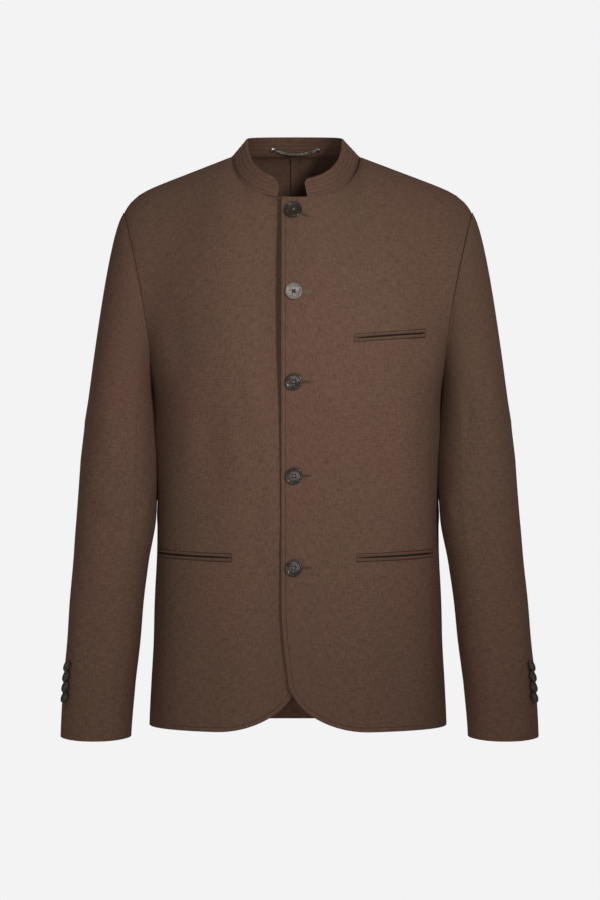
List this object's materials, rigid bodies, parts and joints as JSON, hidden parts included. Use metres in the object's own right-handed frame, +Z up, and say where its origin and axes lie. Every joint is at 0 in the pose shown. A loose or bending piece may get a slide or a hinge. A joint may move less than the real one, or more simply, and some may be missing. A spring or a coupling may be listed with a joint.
{
  "type": "suit jacket",
  "caption": "Single-breasted stand-collar suit jacket in brown wool, filled out as if worn, with round horn buttons and welt pockets.",
  "frame": {"origin": "middle of the neck base, level with the two neck points where the shoulder seams meet the collar", "axes": "+Z up, -Y towards the garment's front, +X towards the wearer's left"},
  "size_m": [0.5898, 0.2882, 0.7515],
  "materials": {
    "wool": "fine brown melange wool weave, matt, slightly fuzzy",
    "horn": "polished dark horn, mottled black, grey and brown",
    "chain_metal": "small steel hanger chain with plain end plates"
  },
  "bodies": {
    "root": {"front_left": "wool", "front_right": "wool", "back_left": "wool", "back_right": "wool", "side_left": "wool", "side_right": "wool", "upper_sleeve_left": "wool", "upper_sleeve_right": "wool", "under_sleeve_left": "wool", "under_sleeve_right": "wool", "collar": "wool", "chest_welt_upper": "wool", "chest_welt_lower": "wool", "pocket_welt_left_upper": "wool", "pocket_welt_left_lower": "wool", "pocket_welt_right_upper": "wool", "pocket_welt_right_lower": "wool", "back_hem_turn_up": "wool", "centre_seam_allowance": "wool", "front_button_1": "horn", "front_button_2": "horn", "front_button_3": "horn", "front_button_4": "horn", "front_button_5": "horn", "cuff_button_left_1": "horn", "cuff_button_left_2": "horn", "cuff_button_left_3": "horn", "cuff_button_left_4": "horn", "cuff_button_right_1": "horn", "cuff_button_right_2": "horn", "cuff_button_right_3": "horn", "cuff_button_right_4": "horn", "hanger_plate_left": "chain_metal", "hanger_plate_right": "chain_metal", "hanger_chain": "chain_metal"}
  },
  "joints": []
}
